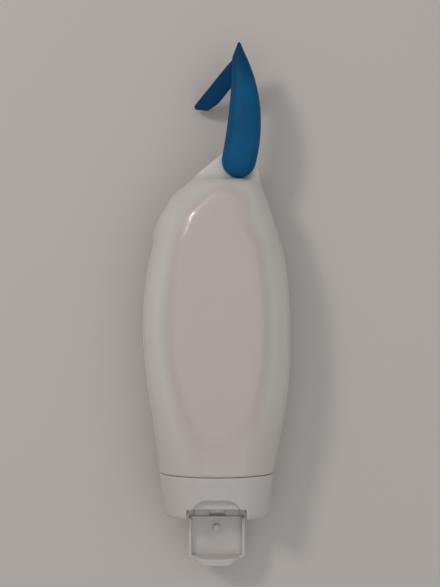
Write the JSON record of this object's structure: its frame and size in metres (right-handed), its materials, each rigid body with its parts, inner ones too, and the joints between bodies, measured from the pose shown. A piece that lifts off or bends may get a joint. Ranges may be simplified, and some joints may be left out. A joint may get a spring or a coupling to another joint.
{
  "type": "squeeze bottle with flip-top cap and strap hook",
  "caption": "Oval translucent squeeze bottle lying on its back, with a flush flip-top cap and a curved strap hook with a folding arm.",
  "frame": {"origin": "on the flat back panel, on the bottle's centre line where the body is widest", "axes": "+Z out of the front panel, +Y from the cap to the hook, +X to the right seen from the front"},
  "size_m": [0.0439, 0.1562, 0.028],
  "materials": {
    "frosted_bottle": "frosted, translucent",
    "frosted_cap": "satin, translucent",
    "liner_foam": "matt",
    "blue_plastic": "satin",
    "blue_rivet": "satin"
  },
  "bodies": {
    "bottle": {"bottle_shell": "frosted_bottle"},
    "cap": {"cap_shell": "frosted_cap", "cap_liner": "liner_foam", "film_hinge": "frosted_cap"},
    "lid": {"flip_lid": "frosted_cap"},
    "hook": {"hook_horn": "blue_plastic", "hook_rivet": "blue_rivet", "arm_rivet": "blue_rivet"},
    "arm": {"hook_arm": "blue_plastic"}
  },
  "joints": [
    {"name": "cap_pull", "type": "slide", "parent": "bottle", "child": "cap", "axis": [0, -1, 0], "range_m": [0, 0.012]},
    {"name": "lid_flip", "type": "hinge", "parent": "cap", "child": "lid", "pos_m": [0, -0.0529, 0.01], "axis": [1, 0, 0], "range_deg": [-100, 18]},
    {"name": "hook_swing", "type": "hinge", "parent": "bottle", "child": "hook", "pos_m": [0.0066, 0.0532, 0.014], "axis": [0, 0, 1], "range_deg": [-60, 60]},
    {"name": "arm_fold", "type": "hinge", "parent": "hook", "child": "arm", "pos_m": [0.0069, 0.0822, 0.014], "axis": [0, 0, 1], "range_deg": [-8, 42]}
  ]
}
